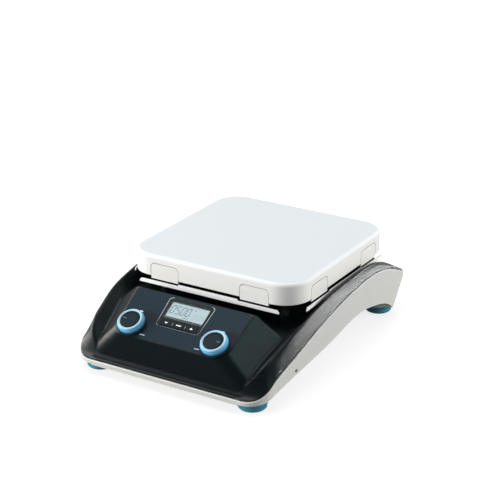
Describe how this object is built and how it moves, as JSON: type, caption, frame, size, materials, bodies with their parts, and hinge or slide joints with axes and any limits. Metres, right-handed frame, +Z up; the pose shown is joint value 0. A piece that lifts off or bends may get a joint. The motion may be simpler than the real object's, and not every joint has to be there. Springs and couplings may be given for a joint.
{
  "type": "hotplate magnetic stirrer",
  "caption": "Laboratory hotplate with a magnetic stirring drive below a square white plate, a sloping control panel with display, knobs and keys, and an arched housing.",
  "frame": {"origin": "on the surface it stands on, in the middle of its overall width and length", "axes": "+X to the user's right, +Y to the rear, +Z up; the control panel faces -Y"},
  "size_m": [0.1966, 0.2893, 0.0902],
  "materials": {
    "plate_white": "gloss white",
    "clip_white": "satin white",
    "shield_white": "white enamel",
    "steel": "plain steel",
    "heater_metal": "dull alloy ribbon",
    "insulation": "fibre mat",
    "ceramic": "unglazed",
    "cover_dark": "satin near-black",
    "base_grey": "satin light grey",
    "panel_slate": "matt blue-grey sheet",
    "bezel_black": "near-black",
    "window_clear": "clear",
    "lcd_pale": "pale display",
    "key_dark": "matt",
    "knob_dark": "satin",
    "ring_blue": "light blue",
    "board_green": "laminate",
    "component_grey": "moulded",
    "aluminium": "plain",
    "motor_steel": "zinc-plated",
    "magnet_nickel": "nickel-plated",
    "rubber_black": "matt",
    "foot_teal": "blue-grey",
    "connector_black": "matt black",
    "brass": "plain",
    "transformer_core": "lacquered laminations"
  },
  "bodies": {
    "base": {"base_housing": "base_grey", "top_cover": "cover_dark", "control_panel": "panel_slate", "display_bezel": "bezel_black", "display_window": "window_clear", "lcd_module": "lcd_pale", "control_board": "board_green", "key_switches": "component_grey", "board_screws": "steel", "control_nuts": "steel", "top_plate": "plate_white", "plate_clips": "clip_white", "heating_element": "heater_metal", "insulation_pad": "insulation", "clamp_plate": "steel", "temperature_sensor": "steel", "heat_shield": "shield_white", "plate_standoffs": "steel", "ceramic_spacers": "ceramic", "standoff_nuts": "steel", "motor_body": "motor_steel", "motor_bracket": "steel", "motor_grommets": "rubber_black", "shaft_seal": "rubber_black", "power_board": "board_green", "transformer": "transformer_core", "heatsink": "aluminium", "capacitors": "component_grey", "rear_panel": "aluminium", "mains_inlet": "connector_black", "inlet_pins": "brass", "fuse_holder": "connector_black", "switch_body": "connector_black", "probe_socket": "steel", "rod_socket": "steel", "foot_screws": "steel", "housing_screws": "steel", "side_screws": "steel", "temperature_control": "component_grey", "speed_control": "component_grey", "foot_front_left": "foot_teal", "foot_front_right": "foot_teal", "foot_rear_left": "foot_teal", "foot_rear_right": "foot_teal"},
    "rotor": {"motor_shaft": "steel", "magnet_carrier": "aluminium", "drive_magnets": "magnet_nickel"},
    "temperature_knob": {"temperature_knob": "knob_dark", "temperature_ring": "ring_blue", "temperature_shaft": "brass"},
    "speed_knob": {"speed_knob": "knob_dark", "speed_ring": "ring_blue", "speed_shaft": "brass"},
    "key_down": {"key_down": "key_dark"},
    "key_timer": {"key_timer": "key_dark"},
    "key_up": {"key_up": "key_dark"},
    "switch_rocker": {"switch_rocker": "connector_black"},
    "fuse_cap": {"fuse_cap": "connector_black"}
  },
  "joints": [
    {"name": "rotor_spin", "type": "hinge", "parent": "base", "child": "rotor", "pos_m": [0, 0.019, 0.05], "axis": [0, 0, 1], "continuous": true},
    {"name": "temperature_knob_turn", "type": "hinge", "parent": "base", "child": "temperature_knob", "pos_m": [-0.043, -0.127, 0.04805], "axis": [0, -0.4879, 0.8729], "range_deg": [-240, 60]},
    {"name": "speed_knob_turn", "type": "hinge", "parent": "base", "child": "speed_knob", "pos_m": [0.043, -0.127, 0.04805], "axis": [0, -0.4879, 0.8729], "range_deg": [-60, 240]},
    {"name": "key_down_press", "type": "slide", "parent": "base", "child": "key_down", "axis": [0, -0.4879, 0.8729], "range_m": [-0.0005, 0], "stiffness_N_per_m": 600, "springref_m": 0.0005},
    {"name": "key_timer_press", "type": "slide", "parent": "base", "child": "key_timer", "axis": [0, -0.4879, 0.8729], "range_m": [-0.0005, 0], "stiffness_N_per_m": 600, "springref_m": 0.0005},
    {"name": "key_up_press", "type": "slide", "parent": "base", "child": "key_up", "axis": [0, -0.4879, 0.8729], "range_m": [-0.0005, 0], "stiffness_N_per_m": 600, "springref_m": 0.0005},
    {"name": "switch_rocker_tip", "type": "hinge", "parent": "base", "child": "switch_rocker", "pos_m": [0.017, 0.119, 0.02025], "axis": [1, 0, 0], "range_deg": [0, 22]},
    {"name": "fuse_cap_turn", "type": "hinge", "parent": "base", "child": "fuse_cap", "pos_m": [-0.008, 0.121, 0.02025], "axis": [0, 1, 0], "range_deg": [0, 90]}
  ]
}
